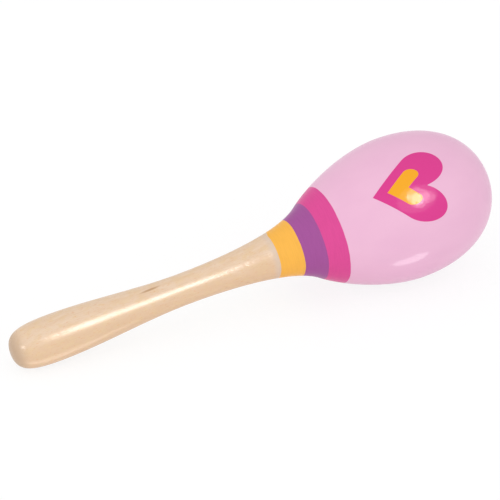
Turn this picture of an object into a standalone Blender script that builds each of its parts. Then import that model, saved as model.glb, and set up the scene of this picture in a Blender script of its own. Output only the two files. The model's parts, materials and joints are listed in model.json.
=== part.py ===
"""A child's wooden maraca: a turned handle glued into a hollow two-part head that holds loose pellets.

Metres, +Z up. The maraca lies on its side on the plane z = 0, as on a table: the head's belly and the butt
of the handle touch the plane, and the turning axis leans up from the butt towards the head along +X. The
origin is on the plane, under the middle of the whole length and width.
"""

import math

import bpy
from mathutils import Matrix, Vector

# Turned outline: lengths along the axis, section by section from the butt to the tip
BUTT_LENGTH = 0.019
GRIP_LENGTH = 0.055
NECK_LENGTH = 0.0555
LOWER_HEAD_LENGTH = 0.042
UPPER_HEAD_LENGTH = 0.0385

# Turned outline: radii where the sections meet, and the slope of the cone under the head
GRIP_RADIUS = 0.0095
WAIST_RADIUS = 0.0065
CONE_RADIUS = 0.0154
HEAD_RADIUS = 0.02975
CONE_ANGLE = math.radians(35.8)

# How far each section's curve runs straight on from its two ends, as shares of the section's length.
# At the butt and the tip the curve leaves the axis square, so there the share is of the radius.
BUTT_REACH_SHARES = (0.81, 0.77)
GRIP_REACH_SHARES = (0.315, 0.33)
NECK_REACH_SHARES = (0.35, 0.18)
LOWER_HEAD_REACH_SHARES = (0.22, 0.355)
UPPER_HEAD_REACH_SHARES = (0.665, 0.545)

# Joint of the handle and the head, and the painted rings that follow it up the head
JOINT_BELOW_CONE = 0.0165
YELLOW_RING_WIDTH = 0.0095
PURPLE_RING_WIDTH = 0.0082
MAGENTA_RING_WIDTH = 0.0075

# Joinery: the handle's tenon in the head's neck, and the spigot on which the head's two shells meet
TENON_RADIUS = 0.0055
TENON_LENGTH = 0.018
TENON_CHAMFER = 0.0008
WALL = 0.004
SPIGOT_LENGTH = 0.004
GLUE_GAP = 0.0003

# Loose pellets: one in the middle, and whole rings of six, twelve and so on round it
PELLET_RADIUS = 0.0025
PELLET_SPACING = 0.0003
PELLET_SEAT_GAP = 0.0003
PELLET_RINGS = 2

# Lands: the two small flats that the maraca lies on, under the head's belly and under the butt
LAND_LENGTH = 0.004
LAND_BLEND_SHARE = 0.8

# Fineness of the turned surfaces and of the pellets
SEGMENTS = 48
STEPS_PER_SECTION = 8
LEAST_STEPS = 2
PELLET_SEGMENTS = 12
PELLET_BELTS = 7
SMOOTH_UNDER = math.radians(35)
MERGE_DISTANCE = 0.00001

# Searches along a curve: samples in a search, and halvings of an interval
SEARCH_SAMPLES = 400
HALVINGS = 50

# Colours of the finishes, as linear red, green and blue
WOOD = (0.78, 0.58, 0.38)
YELLOW = (0.95, 0.48, 0.08)
PURPLE = (0.38, 0.10, 0.35)
MAGENTA = (0.74, 0.09, 0.30)
PALE_PINK = (0.87, 0.52, 0.70)
STEEL = (0.55, 0.54, 0.52)

# Stations along the axis that the sizes above fix
WAIST_STATION = BUTT_LENGTH + GRIP_LENGTH
CONE_STATION = WAIST_STATION + NECK_LENGTH
SEAM_STATION = CONE_STATION + LOWER_HEAD_LENGTH
TOTAL_LENGTH = SEAM_STATION + UPPER_HEAD_LENGTH
JOINT_STATION = CONE_STATION - JOINT_BELOW_CONE
PURPLE_STATION = JOINT_STATION + YELLOW_RING_WIDTH
MAGENTA_STATION = PURPLE_STATION + PURPLE_RING_WIDTH
PINK_STATION = MAGENTA_STATION + MAGENTA_RING_WIDTH
FLOOR_STATION = JOINT_STATION + TENON_LENGTH
SPIGOT_STATION = SEAM_STATION + SPIGOT_LENGTH

# A mark names a place on the outline by counting its sections: 0 is the butt and 5 the tip
BUTT_MARK = 0
WAIST_MARK = 2
CONE_MARK = 3
TIP_MARK = 5

# A flat facet's distance from the axis, as a share of its corners' distance
FACET_SHARE = math.cos(math.pi / SEGMENTS)


def outline_sections():
    """The turned outline as cubic curves of four (station, radius) points, from the butt to the tip."""
    along = Vector((1, 0))
    outward = Vector((0, 1))
    up_cone = Vector((1, math.tan(CONE_ANGLE)))
    butt = Vector((0, 0))
    bulge = Vector((BUTT_LENGTH, GRIP_RADIUS))
    waist = Vector((WAIST_STATION, WAIST_RADIUS))
    cone = Vector((CONE_STATION, CONE_RADIUS))
    belly = Vector((SEAM_STATION, HEAD_RADIUS))
    tip = Vector((TOTAL_LENGTH, 0))
    runs = [
        (butt, outward * GRIP_RADIUS, bulge, along * BUTT_LENGTH, BUTT_REACH_SHARES),
        (bulge, along * GRIP_LENGTH, waist, along * GRIP_LENGTH, GRIP_REACH_SHARES),
        (waist, along * NECK_LENGTH, cone, up_cone * NECK_LENGTH, NECK_REACH_SHARES),
        (cone, up_cone * LOWER_HEAD_LENGTH, belly, along * LOWER_HEAD_LENGTH, LOWER_HEAD_REACH_SHARES),
        (belly, along * UPPER_HEAD_LENGTH, tip, -outward * HEAD_RADIUS, UPPER_HEAD_REACH_SHARES),
    ]
    return [
        (start, start + leave * shares[0], end - arrive * shares[1], end)
        for start, leave, end, arrive, shares in runs
    ]


SECTIONS = outline_sections()


def section_at(mark):
    """The outline's section that holds a mark, and how far along it the mark is, from 0 to 1."""
    index = min(int(mark), len(SECTIONS) - 1)
    return SECTIONS[index], mark - index


def surface_point(mark):
    """The outline's (station, radius) at a mark."""
    (a, b, c, d), t = section_at(mark)
    return (1 - t) ** 3 * a + 3 * (1 - t) ** 2 * t * b + 3 * (1 - t) * t**2 * c + t**3 * d


def chamber_point(mark):
    """The chamber wall's (station, radius) under a mark, one wall thickness inside the outline."""
    (a, b, c, d), t = section_at(mark)
    run = (1 - t) ** 2 * (b - a) + 2 * (1 - t) * t * (c - b) + t**2 * (d - c)
    inward = Vector((run.y, -run.x)).normalized()
    return surface_point(mark) + inward * WALL


def mark_at(station, curve, low):
    """The mark above a low one at which a curve reaches a station."""
    high = TIP_MARK
    for _ in range(HALVINGS):
        middle = (low + high) / 2
        if curve(middle).x < station:
            low = middle
        else:
            high = middle
    return (low + high) / 2


def surface_mark(station):
    """The mark at which the outline reaches a station."""
    return mark_at(station, surface_point, BUTT_MARK)


def chamber_mark(station):
    """The mark at which the chamber's wall reaches a station."""
    return mark_at(station, chamber_point, WAIST_MARK)


def curve_points(curve, start, end):
    """A curve's points from one mark to another, equally fine in every section."""
    steps = max(LEAST_STEPS, round(STEPS_PER_SECTION * (end - start)))
    return [curve(start + (end - start) * i / steps) for i in range(steps + 1)]


def underside_height(point, lean):
    """How high a facet under the axis lies over the butt's pole, once the axis leans."""
    return point.x * math.sin(lean) - point.y * FACET_SHARE * math.cos(lean)


def find_rest():
    """The lean at which the butt and the head both touch the table, the pole's height, and both stations."""
    samples = range(SEARCH_SAMPLES + 1)
    butt = [surface_point(WAIST_MARK * i / SEARCH_SAMPLES) for i in samples]
    head = [surface_point(CONE_MARK + (TIP_MARK - CONE_MARK) * i / SEARCH_SAMPLES) for i in samples]
    low, high = 0, CONE_ANGLE
    for _ in range(HALVINGS):
        lean = (low + high) / 2
        lowest = [min(side, key=lambda point: underside_height(point, lean)) for side in (butt, head)]
        butt_height, head_height = [underside_height(point, lean) for point in lowest]
        if butt_height > head_height:
            low = lean
        else:
            high = lean
    return lean, -butt_height, [point.x for point in lowest]


LEAN, POLE_HEIGHT, LAND_STATIONS = find_rest()


def land_points(station):
    """Both ends of a land, on the straight line along which the maraca touches the table."""
    ends = (station - LAND_LENGTH / 2, station + LAND_LENGTH / 2)
    return [
        Vector((end, (end * math.sin(LEAN) + POLE_HEIGHT) / (math.cos(LEAN) * FACET_SHARE)))
        for end in ends
    ]


def outer_points(start, end):
    """The outline's points from one mark up to another, with the lands let in."""
    points = curve_points(surface_point, start, end)
    for station in LAND_STATIONS:
        if points[0].x < station - LAND_LENGTH and station + LAND_LENGTH < points[-1].x:
            kept = [point for point in points if abs(point.x - station) > LAND_LENGTH * LAND_BLEND_SHARE]
            points = sorted(kept + land_points(station), key=lambda point: point.x)
    return points


def lying_axis():
    """The turning axis as it lies: local Z runs up the maraca, and local X points down at the table."""
    outline = outer_points(BUTT_MARK, TIP_MARK)
    low_end = min(p.x * math.cos(LEAN) - p.y * FACET_SHARE * math.sin(LEAN) for p in outline)
    high_end = max(p.x * math.cos(LEAN) + p.y * FACET_SHARE * math.sin(LEAN) for p in outline)
    place = Matrix.Translation((-(low_end + high_end) / 2, 0, POLE_HEIGHT))
    return place @ Matrix.Rotation(math.pi / 2 - LEAN, 4, "Y")


AXIS = lying_axis()


def finish(name, colour, roughness, metallic=0.0):
    """A material of one colour."""
    material = bpy.data.materials.new(name)
    material.use_nodes = True
    material.diffuse_color = (*colour, 1)
    shader = material.node_tree.nodes["Principled BSDF"]
    shader.inputs["Base Color"].default_value = (*colour, 1)
    shader.inputs["Roughness"].default_value = roughness
    shader.inputs["Metallic"].default_value = metallic
    return material


def turned_piece(name, profile, closed, materials, collection, axis):
    """A solid of revolution. Its profile's (station, radius) points run down its outer side, from the top."""
    mesh = bpy.data.meshes.new(name)
    edges = [(i, i + 1) for i in range(len(profile) - 1)]
    if closed:
        edges.append((len(profile) - 1, 0))
    mesh.from_pydata([(point.y, 0, point.x) for point in profile], edges, [])
    piece = bpy.data.objects.new(name, mesh)
    collection.objects.link(piece)
    screw = piece.modifiers.new("turn", "SCREW")
    screw.axis = "Z"
    screw.steps = SEGMENTS
    screw.render_steps = SEGMENTS
    screw.use_merge_vertices = True
    screw.merge_threshold = MERGE_DISTANCE
    turned = bpy.data.meshes.new_from_object(piece.evaluated_get(bpy.context.evaluated_depsgraph_get()))
    piece.modifiers.clear()
    piece.data = turned
    bpy.data.meshes.remove(mesh)
    turned.name = name
    turned.shade_smooth()
    turned.set_sharp_from_angle(angle=SMOOTH_UNDER)
    for material in materials:
        turned.materials.append(material)
    piece.parent = axis
    piece.rotation_euler.z = math.pi / SEGMENTS
    return piece


def handle_profile():
    """The handle: the grip up to its shoulder, and the tenon that plugs the head's neck."""
    tenon = [
        Vector((FLOOR_STATION, 0)),
        Vector((FLOOR_STATION, TENON_RADIUS - TENON_CHAMFER)),
        Vector((FLOOR_STATION - TENON_CHAMFER, TENON_RADIUS)),
        Vector((JOINT_STATION, TENON_RADIUS)),
    ]
    return tenon + outer_points(BUTT_MARK, surface_mark(JOINT_STATION))[::-1]


def lower_shell_profile():
    """The lower shell: its neck is bored for the tenon, and its rim is cut down to a spigot."""
    neck_end = JOINT_STATION + GLUE_GAP
    rim = SEAM_STATION - GLUE_GAP / 2
    marks = [surface_mark(edge) for edge in (neck_end, PURPLE_STATION, MAGENTA_STATION, PINK_STATION, rim)]
    outside = [surface_point(marks[0])]
    for start, end in zip(marks, marks[1:]):
        outside += outer_points(start, end)[1:]
    bore_radius = TENON_RADIUS + GLUE_GAP
    bore = [Vector((neck_end, bore_radius)), Vector((FLOOR_STATION, bore_radius))]
    inside = curve_points(chamber_point, chamber_mark(FLOOR_STATION), chamber_mark(SPIGOT_STATION))
    spigot_radius = HEAD_RADIUS - (WALL + GLUE_GAP) / 2
    spigot = [Vector((SPIGOT_STATION, spigot_radius)), Vector((rim, spigot_radius))]
    return outside[::-1] + bore + inside + spigot


def upper_shell_profile():
    """The upper shell: a dome whose rim is recessed inside, so that it slips over the spigot."""
    rim = SEAM_STATION + GLUE_GAP / 2
    outside = outer_points(surface_mark(rim), TIP_MARK)
    recess_radius = HEAD_RADIUS - (WALL - GLUE_GAP) / 2
    recess_end = SPIGOT_STATION + GLUE_GAP
    recess = [Vector((rim, recess_radius)), Vector((recess_end, recess_radius))]
    inside = curve_points(chamber_point, chamber_mark(recess_end), TIP_MARK)
    return outside[::-1] + recess + inside


def paint_outside(shell):
    """Give a shell's outer faces their paint by station. Its materials are bare wood, then the rings up."""
    for face in shell.data.polygons:
        station = face.center.z
        skin_radius = surface_point(surface_mark(station)).y
        if math.hypot(face.center.x, face.center.y) > skin_radius - WALL / 2:
            face.material_index = 1 + sum(
                station > edge for edge in (PURPLE_STATION, MAGENTA_STATION, PINK_STATION)
            )


def chamber_wall():
    """The chamber as its facets leave it: the flat floor, then the wall up both shells to the top."""
    marks = [chamber_mark(FLOOR_STATION), chamber_mark(SPIGOT_STATION), TIP_MARK]
    wall = [Vector((FLOOR_STATION, 0)), chamber_point(marks[0])]
    for start, end in zip(marks, marks[1:]):
        wall += curve_points(chamber_point, start, end)[1:]
    return [Vector((point.x, point.y * FACET_SHARE)) for point in wall]


CHAMBER_WALL = chamber_wall()


def room_round(centre):
    """The distance from a point to the chamber's wall, or less than nothing outside the chamber."""
    local = AXIS.inverted() @ centre
    point = Vector((local.z, math.hypot(local.x, local.y)))
    nearest = math.inf
    inside = False
    for low, high in zip(CHAMBER_WALL, CHAMBER_WALL[1:]):
        run = high - low
        share = min(1, max(0, (point - low).dot(run) / run.length_squared))
        nearest = min(nearest, (point - low - run * share).length)
        if low.x < point.x <= high.x:
            inside = point.y < low.y + run.y * (point.x - low.x) / run.x
    return nearest if inside else -nearest


def stop_height(x, y, free, blocked):
    """The height between a free one and a blocked one at which a pellet comes to the chamber's wall."""
    for _ in range(HALVINGS):
        height = (free + blocked) / 2
        if room_round(Vector((x, y, height))) > PELLET_RADIUS + PELLET_SEAT_GAP:
            free = height
        else:
            blocked = height
    return free


def pellet_columns():
    """Every pellet's (x, y, rest height, top height): a hexagonal bed over the chamber's lowest place."""
    samples = [CONE_MARK + (TIP_MARK - CONE_MARK) * i / SEARCH_SAMPLES for i in range(SEARCH_SAMPLES + 1)]
    lowest = min((chamber_point(mark) for mark in samples), key=lambda point: underside_height(point, LEAN))
    bed = AXIS @ Vector((lowest.y, 0, lowest.x))
    middle = (AXIS @ Vector((0, 0, lowest.x))).z
    pitch = 2 * PELLET_RADIUS + PELLET_SPACING
    row_pitch = pitch * math.sin(math.pi / 3)
    columns = []
    for row in range(-PELLET_RINGS, PELLET_RINGS + 1):
        in_row = 2 * PELLET_RINGS + 1 - abs(row)
        for place in range(in_row):
            x = bed.x + pitch * (place - (in_row - 1) / 2)
            y = bed.y + row_pitch * row
            rest = stop_height(x, y, middle, middle - HEAD_RADIUS)
            top = stop_height(x, y, middle, middle + HEAD_RADIUS)
            columns.append((x, y, rest, top))
    return columns


def add_pellets(material, collection):
    """The loose pellets, each at rest in a column of its own."""
    bpy.ops.mesh.primitive_uv_sphere_add(
        segments=PELLET_SEGMENTS, ring_count=PELLET_BELTS, radius=PELLET_RADIUS
    )
    sphere = bpy.context.object
    mesh = sphere.data
    bpy.data.objects.remove(sphere)
    mesh.name = "pellet"
    mesh.shade_smooth()
    mesh.materials.append(material)
    for number, (x, y, rest, _) in enumerate(pellet_columns(), start=1):
        pellet = bpy.data.objects.new(f"pellet_{number:02d}", mesh)
        pellet.location = (x, y, rest)
        collection.objects.link(pellet)


def build():
    """The whole maraca, in a collection of its own."""
    for item in list(bpy.data.objects):
        bpy.data.objects.remove(item)
    collection = bpy.data.collections.new("maraca")
    bpy.context.scene.collection.children.link(collection)
    axis = bpy.data.objects.new("turning_axis", None)
    axis.matrix_world = AXIS
    collection.objects.link(axis)

    lacquered = finish("clear_lacquered_wood", WOOD, roughness=0.35)
    turned_piece("handle", handle_profile(), False, [lacquered], collection, axis)

    paints = [finish("bare_wood", WOOD, roughness=0.7)]
    coats = {"yellow": YELLOW, "purple": PURPLE, "magenta": MAGENTA, "pale_pink": PALE_PINK}
    for name, colour in coats.items():
        paints.append(finish(f"{name}_gloss_paint", colour, roughness=0.25))
    lower = turned_piece("lower_head_shell", lower_shell_profile(), True, paints, collection, axis)
    upper = turned_piece("upper_head_shell", upper_shell_profile(), False, paints, collection, axis)
    paint_outside(lower)
    paint_outside(upper)

    add_pellets(finish("steel", STEEL, roughness=0.3, metallic=1.0), collection)


build()
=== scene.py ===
import json
import math
import random

import bpy
from mathutils import Matrix, Quaternion, Vector

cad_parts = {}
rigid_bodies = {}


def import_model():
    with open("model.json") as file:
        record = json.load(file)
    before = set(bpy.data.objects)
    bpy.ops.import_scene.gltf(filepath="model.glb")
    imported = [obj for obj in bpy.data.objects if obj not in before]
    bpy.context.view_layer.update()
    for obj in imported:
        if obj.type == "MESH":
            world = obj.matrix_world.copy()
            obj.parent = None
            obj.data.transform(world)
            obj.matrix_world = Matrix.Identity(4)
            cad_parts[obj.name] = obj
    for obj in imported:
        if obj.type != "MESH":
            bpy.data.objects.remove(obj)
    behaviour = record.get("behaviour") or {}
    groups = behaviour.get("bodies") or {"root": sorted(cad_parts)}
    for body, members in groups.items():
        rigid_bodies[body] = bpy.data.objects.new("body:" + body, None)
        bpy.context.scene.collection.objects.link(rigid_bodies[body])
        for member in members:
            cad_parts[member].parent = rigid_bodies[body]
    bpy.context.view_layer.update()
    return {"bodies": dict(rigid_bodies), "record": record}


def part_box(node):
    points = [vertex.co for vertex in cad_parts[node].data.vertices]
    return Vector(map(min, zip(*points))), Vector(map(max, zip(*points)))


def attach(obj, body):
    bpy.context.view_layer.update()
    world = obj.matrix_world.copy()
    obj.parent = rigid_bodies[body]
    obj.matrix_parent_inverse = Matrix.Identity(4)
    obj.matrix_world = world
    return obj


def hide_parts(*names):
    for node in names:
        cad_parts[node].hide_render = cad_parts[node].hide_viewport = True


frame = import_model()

# Handle
# One stick of pale, close-grained hardwood, turned between centres: a round butt, a slim grip and a flare
# into the neck. A bare tenon behind its shoulder is glued into the head. The outside is sanded, and coated
# with clear gloss lacquer that still shows the fine marks of turning at the neck.

# Lengths along the axis and radii of the turned outline, from the butt to where the neck becomes a cone
BUTT_LENGTH = 0.019
GRIP_LENGTH = 0.055
NECK_LENGTH = 0.0555
GRIP_RADIUS = 0.0095
WAIST_RADIUS = 0.0065
CONE_RADIUS = 0.0154
CONE_ANGLE = math.radians(35.8)

# How far each length's curve runs straight on from its two ends, as shares of that length, or of the radius
# where the curve leaves the axis square
BUTT_REACH_SHARES = (0.81, 0.77)
GRIP_REACH_SHARES = (0.315, 0.33)
NECK_REACH_SHARES = (0.35, 0.18)

# The smooth surface runs this far inside the outline, so that it stays in the box of the faceted solids
SURFACE_INSET = 0.00015

# Joint of the handle and the head
JOINT_STATION = 0.113
TENON_RADIUS = 0.0055
TENON_LENGTH = 0.018
TENON_CHAMFER = 0.0008
GLUE_LINE = 0.00002

# How the maraca lies: the butt's pole, and how far the axis leans up towards the head
POLE = Vector((-0.104145, 0, 0.007735))
GRIP_MOUNT = next(mount for mount in frame["record"]["mounts"] if mount["name"] == "grip")
LEAN = -math.asin(GRIP_MOUNT["axis"][2])

# Fineness of the turning
STEPS_PER_SECTION = 40
HALVINGS = 50
TURNED_SEGMENTS = 192
SMOOTH_UNDER = math.radians(35)
MERGE_DISTANCE = 0.000001
SUPPORT_GAP = 0.00005

# Ways that the outline runs, and the points where its sections meet, as (station, radius)
ALONG = Vector((1, 0))
OUTWARD = Vector((0, 1))
UP_CONE = Vector((1, math.tan(CONE_ANGLE)))
BULGE = Vector((BUTT_LENGTH, GRIP_RADIUS))
WAIST = Vector((BULGE.x + GRIP_LENGTH, WAIST_RADIUS))
CONE = Vector((WAIST.x + NECK_LENGTH, CONE_RADIUS))


def outline_section(start, leave, end, arrive, reach_shares):
    """A section of the turned outline, as a cubic curve of four (station, radius) points."""
    return start, start + leave * reach_shares[0], end - arrive * reach_shares[1], end


SECTIONS = [
    outline_section(Vector((0, 0)), OUTWARD * GRIP_RADIUS, BULGE, ALONG * BUTT_LENGTH, BUTT_REACH_SHARES),
    outline_section(BULGE, ALONG * GRIP_LENGTH, WAIST, ALONG * GRIP_LENGTH, GRIP_REACH_SHARES),
    outline_section(WAIST, ALONG * NECK_LENGTH, CONE, UP_CONE * NECK_LENGTH, NECK_REACH_SHARES),
]
BUTT_MARK = 0


def section_at(mark):
    """The outline's section that holds a mark, and how far along it the mark is, from 0 to 1."""
    index = min(int(mark), len(SECTIONS) - 1)
    return SECTIONS[index], mark - index


def surface_point(mark, depth=SURFACE_INSET):
    """The (station, radius) at a depth under the outline. A mark counts sections from the butt."""
    (a, b, c, d), t = section_at(mark)
    point = (1 - t) ** 3 * a + 3 * (1 - t) ** 2 * t * b + 3 * (1 - t) * t**2 * c + t**3 * d
    run = (1 - t) ** 2 * (b - a) + 2 * (1 - t) * t * (c - b) + t**2 * (d - c)
    inward = Vector((run.y, -run.x)).normalized()
    return point + inward * depth


def mark_at(station, curve=surface_point, low=BUTT_MARK):
    """The mark at which a curve reaches a station, halving the interval down to less than a hair."""
    high = len(SECTIONS)
    for _ in range(HALVINGS):
        middle = (low + high) / 2
        if curve(middle).x < station:
            low = middle
        else:
            high = middle
    return (low + high) / 2


def curve_points(start, end, curve=surface_point):
    """A curve's points from one mark to another, equally fine in every section."""
    steps = max(2, round(STEPS_PER_SECTION * abs(end - start)))
    return [curve(start + (end - start) * i / steps) for i in range(steps + 1)]


def surface_place(station, angle):
    """A point of the turned surface in maraca coordinates. The angle is 0 underneath and grows towards +Y."""
    radius = surface_point(mark_at(station)).y
    return Vector((radius * math.cos(angle), radius * math.sin(angle), station))


def add_node(tree, kind, inputs=None, **settings):
    """A node with its settings, and with its inputs filled with values or linked to sockets."""
    made = tree.nodes.new(kind)
    for name, value in settings.items():
        setattr(made, name, value)
    for key, value in (inputs or {}).items():
        if isinstance(value, bpy.types.NodeSocket):
            tree.links.new(value, made.inputs[key])
        else:
            made.inputs[key].default_value = value
    return made


def calculate(tree, operation, *values):
    """The result of a Math node."""
    return add_node(tree, "ShaderNodeMath", dict(enumerate(values)), operation=operation).outputs[0]


def calculate_vector(tree, operation, *vectors):
    """The vector that a Vector Math node makes of vectors."""
    return add_node(tree, "ShaderNodeVectorMath", dict(enumerate(vectors)), operation=operation).outputs[0]


def measure(tree, operation, *vectors):
    """The number that a Vector Math node makes of vectors: a length, a distance or a dot product."""
    made = add_node(tree, "ShaderNodeVectorMath", dict(enumerate(vectors)), operation=operation)
    return made.outputs["Value"]


def take_apart(tree, vector):
    """A vector's three parts, called X, Y and Z."""
    return add_node(tree, "ShaderNodeSeparateXYZ", {0: vector}).outputs


def put_together(tree, *parts):
    """A vector of two or three parts."""
    return add_node(tree, "ShaderNodeCombineXYZ", dict(enumerate(parts))).outputs[0]


def lathe_tree():
    """A lathe: it turns profile points round their Z axis, lays the piece down and gives it its finishes."""
    tree = bpy.data.node_groups.new("lathe", "GeometryNodeTree")
    sockets = {
        "Profile": "NodeSocketGeometry",
        "Segments": "NodeSocketInt",
        "Turn Down": "NodeSocketFloat",
        "Pole": "NodeSocketVector",
        "Table Height": "NodeSocketFloat",
        "Merge Distance": "NodeSocketFloat",
        "First Coated Row": "NodeSocketInt",
        "Last Coated Row": "NodeSocketInt",
        "Bare Finish": "NodeSocketMaterial",
        "Coated Finish": "NodeSocketMaterial",
    }
    for name, kind in sockets.items():
        tree.interface.new_socket(name, in_out="INPUT", socket_type=kind)
    tree.interface.new_socket("Turned", in_out="OUTPUT", socket_type="NodeSocketGeometry")
    given = add_node(tree, "NodeGroupInput").outputs

    size = add_node(tree, "GeometryNodeAttributeDomainSize", {"Geometry": given["Profile"]})
    columns = calculate(tree, "ADD", given["Segments"], 1)
    grid = add_node(
        tree, "GeometryNodeMeshGrid", {"Vertices X": size.outputs["Point Count"], "Vertices Y": columns}
    )
    index = add_node(tree, "GeometryNodeInputIndex").outputs[0]
    row = calculate(tree, "FLOOR", calculate(tree, "DIVIDE", index, columns))
    column = calculate(tree, "MODULO", index, columns)
    angle = calculate(tree, "DIVIDE", calculate(tree, "MULTIPLY", column, math.tau), given["Segments"])
    place = add_node(tree, "GeometryNodeInputPosition").outputs[0]
    sample = add_node(tree, "GeometryNodeSampleIndex", data_type="FLOAT_VECTOR", domain="POINT")
    tree.links.new(given["Profile"], sample.inputs["Geometry"])
    tree.links.new(place, sample.inputs["Value"])
    tree.links.new(row, sample.inputs["Index"])
    point = take_apart(tree, sample.outputs[0])
    turned = put_together(
        tree,
        calculate(tree, "MULTIPLY", point["X"], calculate(tree, "COSINE", angle)),
        calculate(tree, "MULTIPLY", point["X"], calculate(tree, "SINE", angle)),
        point["Z"],
    )
    laid = add_node(
        tree,
        "ShaderNodeVectorRotate",
        {"Vector": turned, "Angle": given["Turn Down"]},
        rotation_type="Y_AXIS",
    )
    spot = take_apart(tree, calculate_vector(tree, "ADD", laid.outputs[0], given["Pole"]))
    height = calculate(tree, "MAXIMUM", spot["Z"], given["Table Height"])
    rested = put_together(tree, spot["X"], spot["Y"], height)
    shaped = add_node(
        tree, "GeometryNodeSetPosition", {"Geometry": grid.outputs["Mesh"], "Position": rested}
    )

    past_first = calculate(tree, "GREATER_THAN", row, given["First Coated Row"])
    before_last = calculate(tree, "LESS_THAN", row, given["Last Coated Row"])
    coated = calculate(tree, "MULTIPLY", past_first, before_last)
    stored = add_node(
        tree,
        "GeometryNodeStoreNamedAttribute",
        {"Geometry": shaped.outputs[0], "Name": "coated", "Value": coated},
        data_type="BOOLEAN",
        domain="FACE",
    )
    merged = add_node(
        tree,
        "GeometryNodeMergeByDistance",
        {"Geometry": stored.outputs[0], "Distance": given["Merge Distance"]},
    )
    smooth = add_node(tree, "GeometryNodeSetShadeSmooth", {"Geometry": merged.outputs[0]})
    real = add_node(tree, "GeometryNodeRealizeInstances", {"Geometry": smooth.outputs[0]})
    bare = add_node(
        tree, "GeometryNodeSetMaterial", {"Geometry": real.outputs[0], "Material": given["Bare Finish"]}
    )
    selected = add_node(tree, "GeometryNodeInputNamedAttribute", {"Name": "coated"}, data_type="BOOLEAN")
    finished = add_node(
        tree,
        "GeometryNodeSetMaterial",
        {
            "Geometry": bare.outputs[0],
            "Selection": selected.outputs["Attribute"],
            "Material": given["Coated Finish"],
        },
    )
    add_node(tree, "NodeGroupOutput", {0: finished.outputs[0]})
    return tree


LATHE = lathe_tree()


def turned_piece(name, profile, coated_rows, bare, coated, segments=TURNED_SEGMENTS, lean=LEAN, pole=POLE):
    """A turned piece. Its (station, radius) points run down the outer side. The coated rows are a range."""
    points = bpy.data.meshes.new(name + "_profile")
    points.from_pydata([(point.y, 0, point.x) for point in profile], [], [])
    piece = bpy.data.objects.new(name, points)
    bpy.context.scene.collection.objects.link(piece)
    lathe = piece.modifiers.new("lathe", "NODES")
    lathe.node_group = LATHE
    settings = {
        "Segments": segments,
        "Turn Down": math.pi / 2 - lean,
        "Pole": pole,
        "Table Height": 0.0,
        "Merge Distance": MERGE_DISTANCE,
        "First Coated Row": coated_rows[0],
        "Last Coated Row": coated_rows[1],
        "Bare Finish": bare,
        "Coated Finish": coated,
    }
    for socket in LATHE.interface.items_tree:
        if socket.name in settings:
            lathe[socket.identifier] = settings[socket.name]
    turned = bpy.data.meshes.new_from_object(piece.evaluated_get(bpy.context.evaluated_depsgraph_get()))
    piece.modifiers.clear()
    piece.data = turned
    bpy.data.meshes.remove(points)
    turned.name = name
    turned.set_sharp_from_angle(angle=SMOOTH_UNDER)
    return piece


def new_finish(name, **values):
    """A material, its node tree and its shader, with the shader's plain values set."""
    material = bpy.data.materials.new(name)
    material.use_nodes = True
    shader = material.node_tree.nodes["Principled BSDF"]
    for key, value in values.items():
        shader.inputs[key.replace("_", " ").title().replace("Ior", "IOR")].default_value = value
    return material, material.node_tree, shader


def measured_from(tree, place, location, rotation=(0, 0, 0), scale=(1, 1, 1)):
    """Coordinates counted from another place, and turned and scaled as asked."""
    return add_node(
        tree,
        "ShaderNodeMapping",
        {"Vector": place, "Location": location, "Rotation": rotation, "Scale": scale},
        vector_type="TEXTURE",
    ).outputs[0]


def maraca_place(tree):
    """Object coordinates turned so that Z is the station up the maraca, and X points down at the table."""
    place = add_node(tree, "ShaderNodeTexCoord").outputs["Object"]
    return measured_from(tree, place, POLE, (0, math.pi / 2 - LEAN, 0))


def noise(tree, place, across, along, detail=2.0, roughness=0.5, shift=0.0):
    """Noise whose spots are so wide across the axis and so long along it, from 0 to 1."""
    spread = add_node(
        tree,
        "ShaderNodeMapping",
        {"Vector": place, "Location": (shift, shift, shift), "Scale": (1 / across, 1 / across, 1 / along)},
    )
    return add_node(
        tree,
        "ShaderNodeTexNoise",
        {"Vector": spread.outputs[0], "Scale": 1.0, "Detail": detail, "Roughness": roughness},
    ).outputs[0]


def remap(tree, value, low, high, to_low=0.0, to_high=1.0):
    """A value taken from one range to another, smoothly and no further than its ends."""
    return add_node(
        tree,
        "ShaderNodeMapRange",
        {"Value": value, "From Min": low, "From Max": high, "To Min": to_low, "To Max": to_high},
        interpolation_type="SMOOTHSTEP",
    ).outputs[0]


# How soft a painted edge is across, and the span that holds nearly all of a noise
EDGE_SOFTNESS = 0.00012
NOISE_SPAN = (0.3, 0.7)


def short_of(tree, edge, reach):
    """1 where a reach falls short of a painted edge, and 0 where it goes past it."""
    return remap(tree, reach, edge + EDGE_SOFTNESS / 2, edge - EDGE_SOFTNESS / 2)


def blend_colour(tree, share, below, above):
    """One colour over another, by a share."""
    mix = add_node(tree, "ShaderNodeMix", data_type="RGBA")
    for key, value in ((0, share), (6, below), (7, above)):
        if isinstance(value, bpy.types.NodeSocket):
            tree.links.new(value, mix.inputs[key])
        else:
            mix.inputs[key].default_value = value if key == 0 else (*value, 1)
    return mix.outputs[2]


def raise_surface(tree, shader, height, distance, under=None):
    """Relief of a given height in metres, laid over other relief or over the plain surface."""
    bump = add_node(tree, "ShaderNodeBump", {"Height": height, "Distance": distance, "Strength": 1.0})
    if under:
        tree.links.new(under, bump.inputs["Normal"])
    tree.links.new(bump.outputs[0], shader.inputs["Normal"])
    return bump.outputs[0]


# Colours of the wood: its ground, the warmer and the yellower parts, and the dark of its rings and flecks.
# The warmer colour also paints shade on one side.
WOOD = (0.846, 0.645, 0.475)
WOOD_WARM_AND_SHADE = (0.805, 0.555, 0.355)
WOOD_YELLOW = (0.825, 0.60, 0.365)
WOOD_DARK = (0.74, 0.50, 0.32)
WOOD_FLECK = (0.78, 0.42, 0.21)
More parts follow.
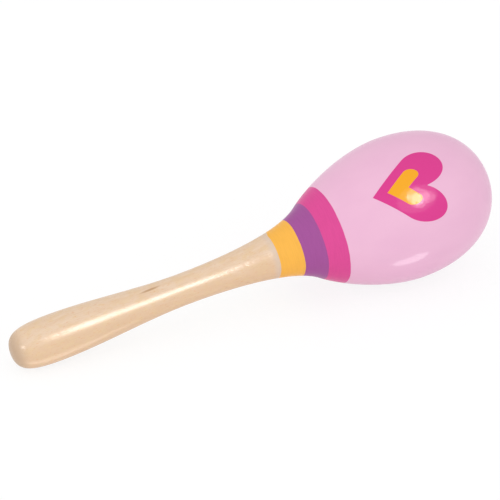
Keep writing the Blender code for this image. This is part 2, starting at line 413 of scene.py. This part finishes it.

# Painted shade: the stick is darker and warmer on its low front side. The way to that side, and how far from
# the axis the painted shade starts and is full
SHADED_SIDE = Vector((0.34, -0.94, 0))
SHADE_FROM = 0.0025
SHADE_FULL = 0.0072
SHADE_WAVER = 0.0025
SHADE_SHARE = 0.8

# Growth rings round a pith that lies beside the stick, and how far they wander
PITH = Vector((0.021, 0.034, 0))
RING_SPACING = 0.0017
RING_WANDER = 0.004
RING_WANDER_SIZE = (0.012, 0.07)
RING_SHARE = 0.18

# Patches, blotches, fibres and flecks: their width and length, the span of the noise in which they come up,
# and how much of their colour they take
PATCH_SIZE = (0.0035, 0.014)
PATCH_SPAN = (0.4, 0.7)
PATCH_SHARE = 0.4
BLOTCH_SIZE = (0.0022, 0.0035)
BLOTCH_SPAN = (0.45, 0.65)
BLOTCH_SHARE = 0.65
FIBRE_SIZE = (0.00028, 0.007)
FIBRE_SPAN = (0.45, 0.75)
FIBRE_SHARE = 0.45
FLECK_SIZE = (0.0004, 0.0014)
FLECK_SPAN = (0.6, 0.75)
FLECK_SHARE = 0.5


def fibres(tree, place):
    """The wood's fibres, drawn out along the grain, from 0 to 1."""
    return noise(tree, place, *FIBRE_SIZE, detail=3, shift=7)


def wood_colour(tree, place):
    """The colour of wood cut lengthwise, as a solid figure that the turned surface cuts through, with painted
    shade on its low front side.
    """
    patch = noise(tree, place, *PATCH_SIZE, detail=3)
    blotch = noise(tree, place, *BLOTCH_SIZE, detail=2, shift=13)
    fleck = noise(tree, place, *FLECK_SIZE, detail=1, shift=11)
    # Painted shade: the wood grows darker and warmer towards the stick's low front side
    side = measure(tree, "DOT_PRODUCT", place, SHADED_SIDE)
    to_shaded_side = calculate(tree, "MULTIPLY_ADD", patch, SHADE_WAVER, side)
    shade_from, shade_full = SHADE_FROM + SHADE_WAVER / 2, SHADE_FULL + SHADE_WAVER / 2

    wander = noise(tree, place, *RING_WANDER_SIZE, shift=3)
    centred = calculate_vector(tree, "SUBTRACT", place, PITH)
    across = calculate_vector(tree, "MULTIPLY", centred, (1, 1, 0))
    from_pith = calculate(tree, "MULTIPLY_ADD", wander, RING_WANDER, measure(tree, "LENGTH", across))
    swing = calculate(tree, "SINE", calculate(tree, "MULTIPLY", from_pith, math.tau / RING_SPACING))
    ring = calculate(tree, "MULTIPLY_ADD", swing, 0.5, 0.5)

    colour = WOOD
    for share, figure in (
        (remap(tree, to_shaded_side, shade_from, shade_full, 0, SHADE_SHARE), WOOD_WARM_AND_SHADE),
        (remap(tree, patch, *PATCH_SPAN, 0, PATCH_SHARE), WOOD_WARM_AND_SHADE),
        (remap(tree, blotch, *BLOTCH_SPAN, 0, BLOTCH_SHARE), WOOD_YELLOW),
        (calculate(tree, "MULTIPLY", ring, RING_SHARE), WOOD_DARK),
        (remap(tree, fibres(tree, place), *FIBRE_SPAN, 0, FIBRE_SHARE), WOOD_DARK),
        (remap(tree, fleck, *FLECK_SPAN, 0, FLECK_SHARE), WOOD_FLECK),
    ):
        colour = blend_colour(tree, share, colour, figure)
    return colour


# Painted shade at the butt, with the darker tone of its end grain: the wood darkens towards the butt's end
END_GRAIN_AND_SHADE = (0.58, 0.41, 0.28)
BUTT_SHADE_DEPTH = 0.0062

# A mineral streak in the grip, which is strongest in its core
STREAK_STATION = 0.0598
STREAK_ANGLE = math.radians(-166.6)
STREAK_TURN = math.radians(4.2)
STREAK_SIZE = (0.0016, 0.00078, 0.006)
STREAK_CORE = 0.25
STREAK_SHARE = 0.7
STREAK_COLOUR = (0.44, 0.22, 0.075)

# The thin veil of undercoat that ran out from under the yellow ring
VEIL_WIDTH = 0.0026
VEIL_WAVER = 0.0009
VEIL_WAVER_SIZE = (0.006, 0.02)
VEIL_SHARE = 0.6
VEIL_COLOUR = (0.72, 0.59, 0.51)

# A little of the ring's yellow paint ran over the joint low on the near side
YELLOW = (0.985, 0.50, 0.078)
RUN_ANGLE = math.radians(-48)
RUN_REACH = 0.009
RUN_WIDTH = 0.00045

# The clear coat grows thinner towards the neck. The wood under it is smoother in patches, and its fibres
# stand up a little.
LACQUER_GLOSS = 0.40
THIN_GLOSS = 0.18
COAT_THIN_FROM = 0.084
COAT_THIN_FULL = 0.108
SMOOTH_PATCH_SIZE = (0.004, 0.012)
WOOD_ROUGHNESS = (0.32, 0.42)
FIBRE_RELIEF = 0.000004

# Turning marks round the stick, by their width and slope. They draw out the gloss along it and break it up at
# the neck, and the butt is sanded smooth of them.
MARK_LENGTH = 0.012
FINE_MARK = 0.00016
FINE_MARK_SLOPE = 0.3
NECK_MARK_SLOPE = 0.9
COARSE_MARK = 0.0005
COARSE_MARK_SLOPE = 0.16
MARKED_FROM = 0.078
MARKED_FULL = 0.1
SANDED_BUTT = (0.005, 0.017)

# Marks of the gouge on wood that is left bare
GOUGE_PITCH = 0.0012
GOUGE_DEPTH = 0.00002
BARE_ROUGHNESS = (0.6, 0.78)


def marked_gloss(tree, shader, slope):
    """Marks of turning on the clear coat. They lean its surface along the axis, by a slope."""
    normal = add_node(tree, "ShaderNodeNewGeometry").outputs["Normal"]
    axis = (math.cos(LEAN), 0, math.sin(LEAN))
    lean = add_node(tree, "ShaderNodeVectorMath", {0: axis, "Scale": slope}, operation="SCALE").outputs[0]
    marked = calculate_vector(tree, "NORMALIZE", calculate_vector(tree, "ADD", normal, lean))
    tree.links.new(marked, shader.inputs["Coat Normal"])


def lacquered_wood():
    """Turned wood under clear gloss lacquer."""
    material, tree, shader = new_finish(
        "clear_lacquered_wood", coat_roughness=0.24, coat_ior=1.58, specular_ior_level=0.02
    )
    place = maraca_place(tree)
    station = take_apart(tree, place)["Z"]
    # Painted shade and end grain darken the wood towards the butt's end
    butt_shade = remap(tree, station, BUTT_SHADE_DEPTH, 0)
    colour = blend_colour(tree, butt_shade, wood_colour(tree, place), END_GRAIN_AND_SHADE)

    streak_place = surface_place(STREAK_STATION, STREAK_ANGLE)
    streak = measured_from(tree, place, streak_place, (STREAK_TURN, 0, STREAK_ANGLE), STREAK_SIZE)
    streak_share = remap(tree, measure(tree, "LENGTH", streak), 1.0, STREAK_CORE, 0, STREAK_SHARE)
    colour = blend_colour(tree, streak_share, colour, STREAK_COLOUR)

    waver = noise(tree, place, *VEIL_WAVER_SIZE, shift=5)
    reach = calculate(tree, "MULTIPLY_ADD", waver, VEIL_WAVER, station)
    veil_from = JOINT_STATION - VEIL_WIDTH - VEIL_WAVER / 2
    veil = remap(tree, reach, veil_from, JOINT_STATION, 0, VEIL_SHARE)
    colour = blend_colour(tree, veil, colour, VEIL_COLOUR)

    off_run = measure(tree, "DISTANCE", place, surface_place(JOINT_STATION, RUN_ANGLE))
    run = remap(tree, off_run, RUN_REACH, 0, 0, RUN_WIDTH)
    to_joint = calculate(tree, "SUBTRACT", JOINT_STATION, calculate(tree, "ADD", station, run))
    colour = blend_colour(tree, short_of(tree, 0, to_joint), colour, YELLOW)
    tree.links.new(colour, shader.inputs["Base Color"])

    coat = remap(tree, station, COAT_THIN_FROM, COAT_THIN_FULL, LACQUER_GLOSS, THIN_GLOSS)
    tree.links.new(coat, shader.inputs["Coat Weight"])
    smooth_patch = noise(tree, place, *SMOOTH_PATCH_SIZE, detail=3, shift=9)
    tree.links.new(remap(tree, smooth_patch, *NOISE_SPAN, *WOOD_ROUGHNESS), shader.inputs["Roughness"])
    raise_surface(tree, shader, fibres(tree, place), FIBRE_RELIEF)

    coarse = noise(tree, place, MARK_LENGTH, COARSE_MARK, detail=1, shift=17)
    coarse_slope = remap(tree, station, MARKED_FROM, MARKED_FULL, 0, COARSE_MARK_SLOPE)
    slope = calculate(tree, "MULTIPLY", calculate(tree, "SUBTRACT", coarse, 0.5), coarse_slope)
    fine = noise(tree, place, MARK_LENGTH, FINE_MARK, detail=1, shift=15)
    grip_slope = remap(tree, station, *SANDED_BUTT, 0, FINE_MARK_SLOPE)
    neck_slope = remap(tree, station, MARKED_FROM, JOINT_STATION, 0, NECK_MARK_SLOPE - FINE_MARK_SLOPE)
    fine_slope = calculate(tree, "ADD", grip_slope, neck_slope)
    slope = calculate(tree, "MULTIPLY_ADD", calculate(tree, "SUBTRACT", fine, 0.5), fine_slope, slope)
    marked_gloss(tree, shader, slope)
    return material


def bare_wood():
    """Turned wood without a coat, as on the tenon and inside the head, with the marks of the gouge."""
    material, tree, shader = new_finish("bare_turned_wood", specular_ior_level=0.3)
    place = maraca_place(tree)
    station = take_apart(tree, place)["Z"]
    tree.links.new(wood_colour(tree, place), shader.inputs["Base Color"])
    roughness = remap(tree, fibres(tree, place), *NOISE_SPAN, *BARE_ROUGHNESS)
    tree.links.new(roughness, shader.inputs["Roughness"])
    gouge = calculate(tree, "SINE", calculate(tree, "MULTIPLY", station, math.tau / GOUGE_PITCH))
    raise_surface(tree, shader, gouge, GOUGE_DEPTH)
    return material


LACQUERED_WOOD = lacquered_wood()
BARE_WOOD = bare_wood()

floor_station = JOINT_STATION + TENON_LENGTH
tenon = [
    Vector((floor_station, 0)),
    Vector((floor_station, TENON_RADIUS - TENON_CHAMFER)),
    Vector((floor_station - TENON_CHAMFER, TENON_RADIUS)),
    Vector((JOINT_STATION, TENON_RADIUS)),
]
joint_mark = mark_at(JOINT_STATION)
support = surface_point(mark_at(JOINT_STATION - SUPPORT_GAP))
stick = [surface_point(joint_mark), support, *curve_points(joint_mark, BUTT_MARK)[1:]]
coated_rows = (len(tenon) - 1, len(tenon + stick))
handle = turned_piece("lacquered_handle", tenon + stick, coated_rows, BARE_WOOD, LACQUERED_WOOD)
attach(handle, "root")
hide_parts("handle")

# Lower head shell
# The neck end of the hollow head, turned from the same wood. It is bored for the handle's tenon, hollowed
# from the seam, and cut down to a spigot at its rim. Outside it has gloss enamel in pale pink, with three
# rings that were painted on while it turned, so that their edges waver a little.

# The outline goes on from the neck's cone to the head's widest ring, where the seam is, and to the tip
LOWER_HEAD_LENGTH = 0.042
UPPER_HEAD_LENGTH = 0.0385
HEAD_RADIUS = 0.02975
LOWER_REACH_SHARES = (0.22, 0.355)
UPPER_REACH_SHARES = (0.665, 0.545)
BELLY = Vector((CONE.x + LOWER_HEAD_LENGTH, HEAD_RADIUS))
TIP = Vector((BELLY.x + UPPER_HEAD_LENGTH, 0))
SECTIONS += [
    outline_section(CONE, UP_CONE * LOWER_HEAD_LENGTH, BELLY, ALONG * LOWER_HEAD_LENGTH, LOWER_REACH_SHARES),
    outline_section(BELLY, ALONG * UPPER_HEAD_LENGTH, TIP, -OUTWARD * HEAD_RADIUS, UPPER_REACH_SHARES),
]
CONE_MARK = 3
SEAM_MARK = 4
TIP_MARK = 5
WALL = 0.004
SPIGOT_LENGTH = 0.004

# Pink coat, with faint patches and a silky sheen, and how thick each layer of paint stands
PALE_PINK = (0.875, 0.515, 0.695)
PALE_PINK_COOL = (0.855, 0.495, 0.68)
PINK_PATCH_SIZE = (0.009, 0.02)
SILK_SIZE = (0.004, 0.0007)
ENAMEL_ROUGHNESS = (0.3, 0.38)
PEEL_SIZE = (0.0011, 0.0011)
PEEL_HEIGHT = 0.0000012
COAT_THICKNESS = 0.00001

# Rings up from the joint, with thin strokes of the brush round them
MAGENTA = (0.755, 0.075, 0.315)
PURPLE = (0.385, 0.09, 0.335)
YELLOW_RING_WIDTH = 0.0095
PURPLE_RING_WIDTH = 0.0082
MAGENTA_RING_WIDTH = 0.0075
RING_WAVER = 0.0004
RING_WAVER_SIZE = (0.007, 0.05)
BRUSH_SIZE = (0.006, 0.0005)
BRUSH_SPAN = (0.3, 0.8)
BRUSH_SHADE = 0.95

# The brush missed a sliver of wood at the joint, high on the far side
MISSED_ANGLE = math.radians(136)
MISSED_REACH = 0.008
MISSED_WIDTH = 0.0017
MISSED_COLOUR = (0.78, 0.61, 0.46)

# Heart, printed by a soft pad that was pressed on from one side, over both shells: where its tip is, the side
# that the pad came from, and how the round head bent and leaned the print
HEART_TIP_STATION = 0.15285
HEART_TIP_ANGLE = math.radians(-143.25)
PRINT_ANGLE = math.radians(-128.85)
PRINT_BEND_RADIUS = 0.084
PRINT_LEAN_SHARE = -0.2727
HEART_PINK = (0.73, 0.048, 0.28)
HEART_ORANGE = (0.94, 0.415, 0.018)

# The outer heart has round lobes. Their place and radius are measured with the heart squeezed lengthwise and
# leaned over by these shares, and the notch's distance from the tip is not.
OUTER_LOBE = Vector((0.01489, 0.0071))
OUTER_LOBE_RADIUS = 0.00766
OUTER_SQUEEZE_SHARES = (0.818, -0.221)
OUTER_NOTCH = 0.02226

# The inner heart is two thick strokes from its tip, with round ends, drawn squeezed lengthwise by this share
INNER_START = Vector((0.00593, -0.00002))
INNER_TURN = math.radians(1.24)
INNER_SQUEEZE_SHARE = 0.683
STROKE_RADIUS = 0.00227
STROKE_LEAN = math.radians(51.7)
STROKE_LENGTH = 0.0065


def chamber_point(mark):
    """The chamber wall's (station, radius) under a mark, one wall thickness inside the outline."""
    return surface_point(mark, WALL)


def outer_heart(tree, place, lobe, radius, squeeze_shares, notch):
    """1 inside the outer heart, whose tip is at the origin and whose notch is up X, and 0 outside it."""
    apart = take_apart(tree, place)
    across = calculate(tree, "ABSOLUTE", apart["Y"])
    leaned = calculate(tree, "MULTIPLY", across, squeeze_shares[1])
    along = calculate(tree, "MULTIPLY_ADD", apart["X"], squeeze_shares[0], leaned)
    spot = put_together(tree, along, across)
    centre = Vector((lobe.x, lobe.y, 0))
    off_lobe = calculate(tree, "SUBTRACT", measure(tree, "DISTANCE", spot, centre), radius)

    side_angle = math.atan2(lobe.y, lobe.x) + math.asin(radius / lobe.length)
    side = Vector((-math.sin(side_angle), math.cos(side_angle), 0))
    bottom = Vector((notch * squeeze_shares[0], 0, 0))
    top_edge = (centre + side * radius - bottom).normalized()
    cut = Vector((top_edge.y, -top_edge.x, 0))
    past_cut = calculate(tree, "SUBTRACT", measure(tree, "DOT_PRODUCT", spot, cut), bottom.dot(cut))
    off_kite = calculate(tree, "MAXIMUM", measure(tree, "DOT_PRODUCT", spot, side), past_cut)
    return short_of(tree, 0, calculate(tree, "MINIMUM", off_kite, off_lobe))


def inner_heart(tree, place, radius, lean, length, squeeze_share):
    """1 inside the inner heart, whose tip is at the origin and whose notch is up X, and 0 outside it."""
    apart = take_apart(tree, place)
    past_start = calculate(tree, "MULTIPLY_ADD", apart["X"], squeeze_share, -radius / math.sin(lean))
    spot = put_together(tree, past_start, calculate(tree, "ABSOLUTE", apart["Y"]))
    run = measure(tree, "DOT_PRODUCT", spot, (math.cos(lean), math.sin(lean), 0))
    off_line = measure(tree, "DOT_PRODUCT", spot, (-math.sin(lean), math.cos(lean), 0))
    past_end = calculate(tree, "MAXIMUM", calculate(tree, "SUBTRACT", run, length), 0)
    off_stroke = measure(tree, "LENGTH", put_together(tree, past_end, off_line))
    return short_of(tree, radius, off_stroke)


def heart_places(tree, place):
    """Coordinates on the print: X from the outer heart's tip to its notch, and Z out of the head."""
    outward = Vector((math.cos(PRINT_ANGLE), math.sin(PRINT_ANGLE), 0))
    forward = Vector((0, 0, 1))
    turn = Matrix((forward, outward.cross(forward), outward)).transposed().to_euler()
    pressed = measured_from(tree, place, surface_place(HEART_TIP_STATION, HEART_TIP_ANGLE), turn)
    apart = take_apart(tree, pressed)
    squared = calculate(tree, "MULTIPLY", apart["X"], apart["X"])
    across = calculate(tree, "MULTIPLY_ADD", squared, 0.5 / PRINT_BEND_RADIUS, apart["Y"])
    along = calculate(tree, "MULTIPLY_ADD", across, PRINT_LEAN_SHARE, apart["X"])
    return put_together(tree, along, across, apart["Z"])


def enamel():
    """The head's gloss enamel: pale pink, three rings and the printed heart."""
    material, tree, shader = new_finish(
        "painted_gloss_enamel", coat_weight=0.3, coat_roughness=0.05, coat_ior=1.5, specular_ior_level=0.02
    )
    place = maraca_place(tree)
    station = take_apart(tree, place)["Z"]
    patch = noise(tree, place, *PINK_PATCH_SIZE, detail=3, shift=2)
    colour = blend_colour(tree, remap(tree, patch, *NOISE_SPAN), PALE_PINK, PALE_PINK_COOL)

    waver = noise(tree, place, *RING_WAVER_SIZE, detail=3, shift=8)
    reach = calculate(tree, "MULTIPLY_ADD", waver, RING_WAVER, station)
    brushed = remap(tree, noise(tree, place, *BRUSH_SIZE, detail=2, shift=6), *BRUSH_SPAN)
    rings = (
        (MAGENTA, YELLOW_RING_WIDTH + PURPLE_RING_WIDTH + MAGENTA_RING_WIDTH),
        (PURPLE, YELLOW_RING_WIDTH + PURPLE_RING_WIDTH),
        (YELLOW, YELLOW_RING_WIDTH),
    )
    thickness = 0
    for paint, width in rings:
        share = short_of(tree, JOINT_STATION + RING_WAVER / 2 + width, reach)
        streaky = blend_colour(tree, brushed, paint, Vector(paint) * BRUSH_SHADE)
        colour = blend_colour(tree, share, colour, streaky)
        thickness = calculate(tree, "ADD", thickness, share)

    off_missed = measure(tree, "DISTANCE", place, surface_place(JOINT_STATION, MISSED_ANGLE))
    missed = remap(tree, off_missed, MISSED_REACH, 0, 0, MISSED_WIDTH)
    past_missed = calculate(tree, "SUBTRACT", reach, calculate(tree, "ADD", missed, JOINT_STATION))
    colour = blend_colour(tree, short_of(tree, 0, past_missed), colour, MISSED_COLOUR)

    flat = heart_places(tree, place)
    facing = calculate(tree, "GREATER_THAN", take_apart(tree, flat)["Z"], -HEAD_RADIUS / 2)
    outer = outer_heart(tree, flat, OUTER_LOBE, OUTER_LOBE_RADIUS, OUTER_SQUEEZE_SHARES, OUTER_NOTCH)
    start = measured_from(tree, flat, (*INNER_START, 0), (0, 0, INNER_TURN))
    inner = inner_heart(tree, start, STROKE_RADIUS, STROKE_LEAN, STROKE_LENGTH, INNER_SQUEEZE_SHARE)
    for heart, paint in ((outer, HEART_PINK), (inner, HEART_ORANGE)):
        share = calculate(tree, "MULTIPLY", heart, facing)
        colour = blend_colour(tree, share, colour, paint)
        thickness = calculate(tree, "ADD", thickness, share)
    tree.links.new(colour, shader.inputs["Base Color"])

    silk = noise(tree, place, *SILK_SIZE, detail=3, shift=4)
    tree.links.new(remap(tree, silk, *NOISE_SPAN, *ENAMEL_ROUGHNESS), shader.inputs["Roughness"])
    paint_edges = raise_surface(tree, shader, thickness, COAT_THICKNESS)
    peel = noise(tree, place, *PEEL_SIZE, detail=1, shift=12)
    relief = raise_surface(tree, shader, peel, PEEL_HEIGHT, under=paint_edges)
    tree.links.new(relief, shader.inputs["Coat Normal"])
    return material


ENAMEL = enamel()

seam_station = surface_point(SEAM_MARK).x
spigot_end = seam_station + SPIGOT_LENGTH
neck_station = JOINT_STATION + GLUE_LINE
neck_mark = mark_at(neck_station)
seam_support = surface_point(mark_at(seam_station - SUPPORT_GAP))
neck_support = surface_point(mark_at(neck_station + SUPPORT_GAP))
skin = curve_points(SEAM_MARK, neck_mark)
skin = [skin[0], seam_support, *skin[1:-1], neck_support, skin[-1]]
bore_radius = TENON_RADIUS + GLUE_LINE
bore = [Vector((neck_station, bore_radius)), Vector((floor_station, bore_radius))]
floor_mark = mark_at(floor_station, chamber_point, CONE_MARK - 1)
spigot_mark = mark_at(spigot_end, chamber_point, CONE_MARK)
hollow = curve_points(floor_mark, spigot_mark, chamber_point)
spigot_radius = HEAD_RADIUS - WALL / 2 - GLUE_LINE / 2
spigot = [Vector((spigot_end, spigot_radius)), Vector((seam_station, spigot_radius)), skin[0]]
lower_shell = turned_piece(
    "lower_enamelled_shell", skin + bore + hollow + spigot, (-1, len(skin) - 1), BARE_WOOD, ENAMEL
)
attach(lower_shell, "root")
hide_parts("lower_head_shell")

# Upper head shell
# The dome that closes the head. It is turned and hollowed like the lower shell, and recessed inside its rim
# to slip over the spigot, where it is glued. It was filled, sanded and painted together with the lower shell,
# so that the seam doesn't show and the heart runs across it.
rim_support = surface_point(mark_at(seam_station + SUPPORT_GAP))
dome = curve_points(TIP_MARK, SEAM_MARK)
dome = [*dome[:-1], rim_support, dome[-1]]
recess_radius = HEAD_RADIUS - WALL / 2 + GLUE_LINE / 2
recess_end = spigot_end + GLUE_LINE
recess = [Vector((seam_station, recess_radius)), Vector((recess_end, recess_radius))]
vault = curve_points(mark_at(recess_end, chamber_point, CONE_MARK), TIP_MARK, chamber_point)
upper_shell = turned_piece(
    "upper_enamelled_shell", dome + recess + vault, (-1, len(dome) - 1), BARE_WOOD, ENAMEL
)
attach(upper_shell, "root")
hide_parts("upper_head_shell")

# Pellets
# Loose steel balls of 5 mm in the closed head, which make its sound. Each was headed from wire and tumbled,
# so it has a faint band round its middle and slightly flattened ends, and no two lie turned the same way.
PELLET_RADIUS = 0.0025
PELLET_SEGMENTS = 32
PELLET_BELTS = 20
PELLET_BAND_SHARE = 0.12
PELLET_BAND_HEIGHT = 0.00002
PELLET_END_FLAT = 0.00006
TUMBLE_SEED = 19
STEEL = (0.56, 0.55, 0.53)
STEEL_DULL = (0.42, 0.41, 0.40)
DULL_SIZE = (0.0009, 0.0009)
DULL_SPAN = (0.4, 0.7)
STEEL_ROUGHNESS = (0.2, 0.42)
DENT_SIZE = (0.0003, 0.0003)
DENT_DEPTH = 0.000003


def pellet_profile():
    """A ball's (height, radius) points from its top to its bottom, with the band round its middle."""
    points = []
    for belt in range(PELLET_BELTS + 1):
        turn = math.pi * belt / PELLET_BELTS
        height, radius = math.cos(turn), math.sin(turn)
        size = PELLET_RADIUS - PELLET_END_FLAT * height**4
        if abs(height) > PELLET_BAND_SHARE:
            size -= PELLET_BAND_HEIGHT
        points.append(Vector((size * height, abs(size * radius) if 0 < belt < PELLET_BELTS else 0)))
    return points


def tumbled_steel():
    """Bright steel, a little dulled by knocking about in the head."""
    material, tree, shader = new_finish("tumbled_steel", metallic=1.0)
    place = add_node(tree, "ShaderNodeTexCoord").outputs["Object"]
    dull = noise(tree, place, *DULL_SIZE, detail=4, roughness=0.6)
    colour = blend_colour(tree, remap(tree, dull, *DULL_SPAN), STEEL, STEEL_DULL)
    tree.links.new(colour, shader.inputs["Base Color"])
    tree.links.new(remap(tree, dull, *NOISE_SPAN, *STEEL_ROUGHNESS), shader.inputs["Roughness"])
    raise_surface(tree, shader, noise(tree, place, *DENT_SIZE, detail=2, shift=3), DENT_DEPTH)
    return material


TUMBLED_STEEL = tumbled_steel()
tumble = random.Random(TUMBLE_SEED)
for body in sorted(name for name in frame["bodies"] if name.startswith("pellet_")):
    low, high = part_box(body)
    pellet = turned_piece(
        body.replace("pellet", "steel_pellet"),
        pellet_profile(),
        (-1, PELLET_BELTS + 1),
        TUMBLED_STEEL,
        TUMBLED_STEEL,
        segments=PELLET_SEGMENTS,
        lean=tumble.uniform(0, math.pi),
        pole=(Vector(low) + Vector(high)) / 2,
    )
    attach(pellet, body)
    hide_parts(body)

# Floor, light and camera
# The maraca lies on a white table under soft studio light, and is seen from the front left, looking down. In
# its gloss show a round lamp and a smaller one with dimmer panels round them, a lamp by the butt, and two
# bright places on the table.
FLOOR_HALF = 3.0
FLOOR_GREY = (0.97, 0.97, 0.97, 1)
FLOOR_SHADE = (0.17, 0.17, 0.17, 1)
FLOOR_GLOW = 0.85
WHITE = (1, 1, 1, 1)
SOFT_LIGHT = 0.76
SOFT_LIGHT_TILT = 0.42
SOFT_LIGHT_FROM = Vector((-0.45, -0.65, 0.60))


def seen_directly(tree):
    """1 for what the camera sees, straight, mirrored or through glass, and 0 for light on other things."""
    path = add_node(tree, "ShaderNodeLightPath").outputs
    mirrored = calculate(tree, "MAXIMUM", path["Is Glossy Ray"], path["Is Transmission Ray"])
    return calculate(tree, "MAXIMUM", path["Is Camera Ray"], mirrored)


def blend_shaders(tree, share, below, above):
    """One shader over another, by a share."""
    mix = add_node(tree, "ShaderNodeMixShader", {0: share, 1: below.outputs[0], 2: above.outputs[0]})
    return mix.outputs[0]


def white_floor():
    """A white floor that glows a little to the eye but not on the object, and keeps the object's shadow."""
    material = bpy.data.materials.new("white_floor")
    material.use_nodes = True
    tree = material.node_tree
    tree.nodes.clear()
    plain = add_node(tree, "ShaderNodeBsdfDiffuse", {"Color": FLOOR_GREY})
    shade = add_node(tree, "ShaderNodeBsdfDiffuse", {"Color": FLOOR_SHADE})
    glow = add_node(tree, "ShaderNodeEmission", {"Strength": FLOOR_GLOW})
    seen = add_node(tree, "ShaderNodeAddShader", {0: shade.outputs[0], 1: glow.outputs[0]})
    surface = blend_shaders(tree, seen_directly(tree), plain, seen)
    add_node(tree, "ShaderNodeOutputMaterial", {"Surface": surface})
    return material


floor_mesh = bpy.data.meshes.new("floor")
corners = [(x * FLOOR_HALF, y * FLOOR_HALF, 0) for x, y in ((-1, -1), (1, -1), (1, 1), (-1, 1))]
floor_mesh.from_pydata(corners, [], [(0, 1, 2, 3)])
floor_mesh.materials.append(white_floor())
floor = bpy.data.objects.new("floor", floor_mesh)
bpy.context.scene.collection.objects.link(floor)

world = bpy.data.worlds.new("studio")
bpy.context.scene.world = world
world.use_nodes = True
sky = world.node_tree
sky.nodes.clear()
direction = add_node(sky, "ShaderNodeTexCoord").outputs["Generated"]
towards = measure(sky, "DOT_PRODUCT", direction, SOFT_LIGHT_FROM.normalized())
level = calculate(sky, "MULTIPLY_ADD", towards, SOFT_LIGHT_TILT, SOFT_LIGHT)
soft = add_node(sky, "ShaderNodeBackground", {"Color": WHITE, "Strength": level})
white = add_node(sky, "ShaderNodeBackground", {"Color": WHITE, "Strength": 1.0})
add_node(sky, "ShaderNodeOutputWorld", {"Surface": blend_shaders(sky, seen_directly(sky), soft, white)})

# Places that the lamps face. The two bright places on the table shine straight up from just over it.
MIDDLE = Vector((0.02, 0, 0.025))
HEAD_FRONT = Vector((0.055, -0.024, 0.046))
BUTT_FRONT = Vector((-0.1055, -0.0055, 0.0145))
OVER_TABLE = 0.05
OVER_PATCH = Vector((0.0633, -0.0453, OVER_TABLE))
PATCH_TURN = math.radians(30)
OVER_STRIP = Vector((-0.075, -0.0138, OVER_TABLE))
STRIP_TURN = math.radians(6.5)
TABLE_GAP = 0.0005
DOWN = (0, 0, -1)


def gloss_lamp(name, lit_place, direction, distance, size, brightness, turn=0.0):
    """A lamp that faces a place and shows only in the object's gloss. A brightness of 1 looks white."""
    light = bpy.data.lights.new(name, "AREA")
    light.shape = "ELLIPSE"
    light.size, light.size_y = size
    area = math.pi * light.size * light.size_y / 4
    light.energy = brightness * math.pi * area
    holder = bpy.data.objects.new(name, light)
    away = Vector(direction).normalized()
    holder.location = lit_place + away * distance
    holder.rotation_euler = (away.to_track_quat("Z", "Y") @ Quaternion((0, 0, 1), turn)).to_euler()
    holder.visible_camera = holder.visible_diffuse = False
    bpy.context.scene.collection.objects.link(holder)


# For each lamp the place that it faces, the way from there to it and how far, its width and height, its
# brightness, and for the bright places on the table how they are turned
gloss_lamp("round_lamp", HEAD_FRONT, (0.155, -0.715, 0.624), 1.25, (0.26, 0.42), 22.0)
gloss_lamp("small_lamp", HEAD_FRONT, (0.0206, -0.6457, 0.7201), 1.55, (0.13, 0.16), 14.0)
gloss_lamp("halo_panel", MIDDLE, (0.205, -0.715, 0.67), 1.03, (0.36, 0.58), 9.5)
gloss_lamp("side_panel", MIDDLE, (0.365, -0.727, 0.61), 1.05, (0.18, 0.30), 6.5)
gloss_lamp("soft_panel", MIDDLE, (0.19, -0.737, 0.66), 1.1, (0.68, 0.80), 2.5)
gloss_lamp("left_lamp", BUTT_FRONT, (-0.738, -0.49, 0.463), 0.25, (0.075, 0.075), 14.0)
to_table = OVER_TABLE - TABLE_GAP
gloss_lamp("table_patch", OVER_PATCH, DOWN, to_table, (0.028, 0.011), 7.0, PATCH_TURN)
gloss_lamp("table_strip", OVER_STRIP, DOWN, to_table, (0.062, 0.0058), 3.4, STRIP_TURN)

CAMERA_AZIMUTH = math.radians(-25.40)
CAMERA_ELEVATION = math.radians(32.06)
CAMERA_AIM = Vector((0.007137, 0.018041, 0.015154))
CAMERA_DISTANCE = 1.2
CAMERA_LENS = 213.36
SENSOR_WIDTH = 36.0

camera_data = bpy.data.cameras.new("camera")
camera_data.lens = CAMERA_LENS
camera_data.sensor_width = SENSOR_WIDTH
camera = bpy.data.objects.new("camera", camera_data)
level_reach = math.cos(CAMERA_ELEVATION)
back = Vector(
    (
        math.sin(CAMERA_AZIMUTH) * level_reach,
        -math.cos(CAMERA_AZIMUTH) * level_reach,
        math.sin(CAMERA_ELEVATION),
    )
)
camera.location = CAMERA_AIM + back * CAMERA_DISTANCE
camera.rotation_euler = (-back).to_track_quat("-Z", "Y").to_euler()
bpy.context.scene.collection.objects.link(camera)
bpy.context.scene.camera = camera
bpy.context.scene.view_settings.view_transform = "Standard"
